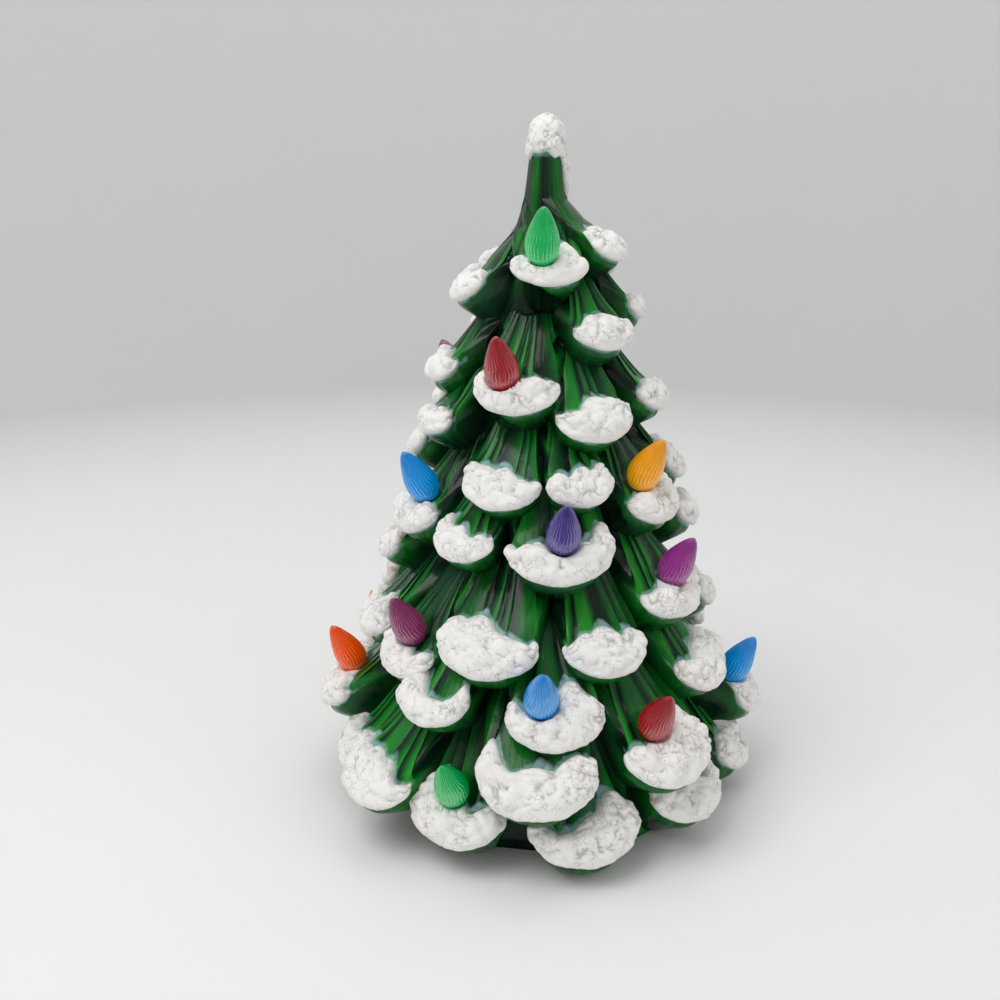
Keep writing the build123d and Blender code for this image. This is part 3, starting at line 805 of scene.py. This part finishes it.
def make_peak_snow():
    """Snow on the peak: a lumpy dome over the spire's tip that thins out down the spire, with one run down
    its right side."""
    rows, columns = 64, 96
    top, bottom, run_length, run_width = 279.6, 264.5, 17.0, 0.4
    dome_radius, dome_foot, dome_height = 8.4, 268.0, 11.8
    s, around = np.meshgrid(np.linspace(0.02, 1, rows), ring_turns(columns), indexing="ij")
    swing = np.angle(np.exp(1j * (around - 0.05)))
    rag = 1.2 * np.sin(3 * around + 1) + 0.8 * np.sin(7 * around)
    foot = bottom + rag - run_length * np.exp(-(swing / run_width) ** 2)
    height = top - (top - foot) * s ** 1.1
    rise = np.maximum(height - dome_foot, 0) / dome_height
    dome = dome_radius * np.sqrt(np.clip(1 - rise ** 2, 0, 1))
    over = 2.6 * np.clip(1 - s ** 6, 0, 1) ** 0.5 - 0.8 * s ** 12
    blend = ease(261, 269, height)
    radius = blend * dome + (1 - blend) * (spire_radius(height) + over)
    points = turned_points(radius, around, height)
    raised, crack = snow_lumps(points)
    push = (0.5 * raised - 0.5) * (1 - s.ravel() ** 8)
    points = points + turned_points(1, around, 0 * around) * push[:, None]
    poles = np.array([[0, 0, top + 0.2], [0, 0, 262.0]])
    quads, triangles = capped_faces(rows, columns)
    return new_piece("peak_snow", np.concatenate([points, poles]), quads, triangles, [snow], "tree", "snow",
                     {"crack": np.append(crack, [1, 1])})


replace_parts(make_peak_snow(), "top_snow_cap")


def make_bulb(number, colour, seat):
    """A flame bulb: a teardrop profile turned round its axis with fine upright ribs, and its peg below."""
    rib_depth, peg_bevel = 0.4, 0.6
    up = np.linspace(1, 0, 34) ** 1.05
    shape = smooth_curve(BULB_PROFILE, up) * BULB_RADIUS
    peg_up = np.array([0.0, -peg_bevel, -PEG_LENGTH + peg_bevel, -PEG_LENGTH])
    peg_radius = np.array([PEG_RADIUS + 0.4, PEG_RADIUS, PEG_RADIUS, PEG_RADIUS - peg_bevel])
    heights = np.concatenate([up * BULB_LENGTH, peg_up]) + STAND
    radii = np.concatenate([shape, peg_radius])
    ribbed = np.concatenate([ease(0.0, 0.12, up) * (1 - ease(0.86, 1.0, up)), 0 * peg_up])
    height, around = np.meshgrid(heights, ring_turns(BULB_COLUMNS), indexing="ij")
    wavy = around + 0.05 * np.sin(height * 0.5 + number) + 0.03 * np.sin(height * 1.3 + 3 * around)
    rib = np.abs(np.cos(BULB_FLUTES / 2 * wavy)) ** 0.6
    radius = radii[:, None] - rib_depth * (1 - rib) * ribbed[:, None]
    points = seat.place_points(radius * np.cos(around), radius * np.sin(around), height).reshape(-1, 3)
    poles = np.stack([seat.origin + (STAND + BULB_LENGTH) * seat.axis,
                      seat.origin + (STAND - PEG_LENGTH) * seat.axis])
    quads, triangles = capped_faces(len(heights), BULB_COLUMNS)
    share = np.clip((height - STAND) / BULB_LENGTH, 0, 1)
    # glow: painted light, bright low down and on the ribs, dimmer up the bulb and between the ribs
    glow = np.clip(0.95 - 0.5 * share, 0, 1) * (1 - (1 - rib) * (0.8 - 0.6 * share))
    name = f"bulb_{number:02d}_{colour}"
    piece = new_piece("flame_" + name, np.concatenate([points, poles]), quads, triangles,
                      [bulb_plastics[colour]], name, "bulb_" + colour,
                      {"glow": np.append(glow.ravel(), [0.1, 0.6])})
    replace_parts(piece, name)


# A ring round a peg hole, radius and height: over its top, down the hole, across its floor and up behind
SOCKET_PROFILE = [
    (5.0, -2.4), (4.7, -0.25), (4.2, 0.0), (2.6, 0.0), (HOLE_RADIUS, -0.3), (HOLE_RADIUS, -9.6),
    (0.02, -9.6), (0.02, -10.3), (HOLE_RADIUS + 0.6, -10.3), (HOLE_RADIUS + 0.6, -3.0),
]


def add_socket(gathered, seat):
    """A glazed ring round a peg hole: a closed profile turned round the bulb's axis, dark down the hole as
    painted shade.
    """
    columns = 40
    profile = np.array(SOCKET_PROFILE)
    rows = len(profile)
    radius, around = np.meshgrid(profile[:, 0], ring_turns(columns), indexing="ij")
    height = np.repeat(profile[:, 1][:, None], columns, 1)
    points = seat.place_points(radius * np.cos(around), radius * np.sin(around), height).reshape(-1, 3)
    close = turned_faces(2, columns)
    close = np.where(close >= columns, close - columns, close + (rows - 1) * columns)
    quads = np.concatenate([turned_faces(rows, columns), close])
    # painted shade: near black down the hole
    green = np.where(height < -0.5, 0.0, 0.45).ravel()
    gathered.add(points, quads, np.zeros((0, 3), int), ridge=green, frost=0 * green, grain=points / 2)


gathered_sockets = Gathered()
for number, (colour, row, place, *shares) in enumerate(BULBS, start=1):
    seat = seats[row, place]
    make_bulb(number, colour, seat)
    add_socket(gathered_sockets, seat)
gathered_sockets.piece("bulb_sockets", [glaze], "tree", "green_glaze")


# Studio

def make_studio():
    """A round floor of pale paper that sweeps up into a wall all round: a turned profile, in metres."""
    flat, bend, wall_top, floor_rings, columns = 0.5, 0.7, 1.9, 12, 96
    angle = np.linspace(0, math.pi / 2, 24)
    floor_radii = np.linspace(0.02, flat, floor_rings)
    radii = np.concatenate([floor_radii, flat + bend * np.sin(angle)[1:], [flat + bend]])
    heights = np.concatenate([np.zeros(floor_rings), bend * (1 - np.cos(angle))[1:], [wall_top]])
    radius, around = np.meshgrid(radii, ring_turns(columns), indexing="ij")
    height = np.repeat(heights[:, None], columns, 1)
    points = turned_points(radius, around, height)
    middle = pole_fan(np.arange(columns), len(points))
    mesh = bpy.data.meshes.new("studio")
    faces = turned_faces(len(radii), columns).tolist() + middle.tolist()
    mesh.from_pydata(np.concatenate([points, [[0, 0, 0]]]).tolist(), [], faces)
    mesh.polygons.foreach_set("use_smooth", np.ones(len(faces), bool))
    mesh.materials.append(make_studio_paper())
    studio = bpy.data.objects.new("studio", mesh)
    bpy.context.scene.collection.objects.link(studio)


def add_light(name, place, aim, size, power):
    """A square soft light at a place, turned to its aim."""
    lamp = bpy.data.lights.new(name, "AREA")
    lamp.size, lamp.energy = size, power
    light = bpy.data.objects.new(name, lamp)
    direction = np.array(aim) - np.array(place)
    flat = math.hypot(direction[0], direction[1])
    light.location = place
    turn = math.atan2(direction[1], direction[0]) - math.pi / 2
    light.rotation_euler = (math.atan2(flat, -direction[2]), 0, turn)
    bpy.context.scene.collection.objects.link(light)


# Lights: place, aim and size in metres, power in watts
LIGHTS = {
    "key": ((-0.5, -0.45, 1.15), (0, 0, 0.12), 0.7, 6.4),
    "fill": ((0.75, -0.55, 0.7), (0, 0, 0.12), 0.7, 1.0),
    "top": ((0.1, 0.35, 1.5), (0, 0, 0.1), 1.0, 2.4),
}
AIR_COLOUR, AIR_STRENGTH = (0.97, 0.985, 0.97, 1.0), 0.66
SENSOR, FOCAL_LENGTH = 36.0, 36.1
CAMERA_PLACE, CAMERA_DIP = (-0.0178, -0.409, 0.243), 16.0  # metres, and degrees below level

make_studio()
for name, settings in LIGHTS.items():
    add_light(name, *settings)

world = bpy.data.worlds.new("studio_air")
world.use_nodes = True
background = world.node_tree.nodes["Background"]
background.inputs["Color"].default_value = AIR_COLOUR
background.inputs["Strength"].default_value = AIR_STRENGTH
bpy.context.scene.world = world
bpy.context.scene.view_settings.view_transform = "Standard"

camera = bpy.data.objects.new("camera", bpy.data.cameras.new("camera"))
camera.data.sensor_width, camera.data.lens = SENSOR, FOCAL_LENGTH
camera.location = CAMERA_PLACE
camera.rotation_euler = (math.radians(90.0 - CAMERA_DIP), 0, 0)
camera.data.clip_start = 0.01
bpy.context.scene.collection.objects.link(camera)
bpy.context.scene.camera = camera
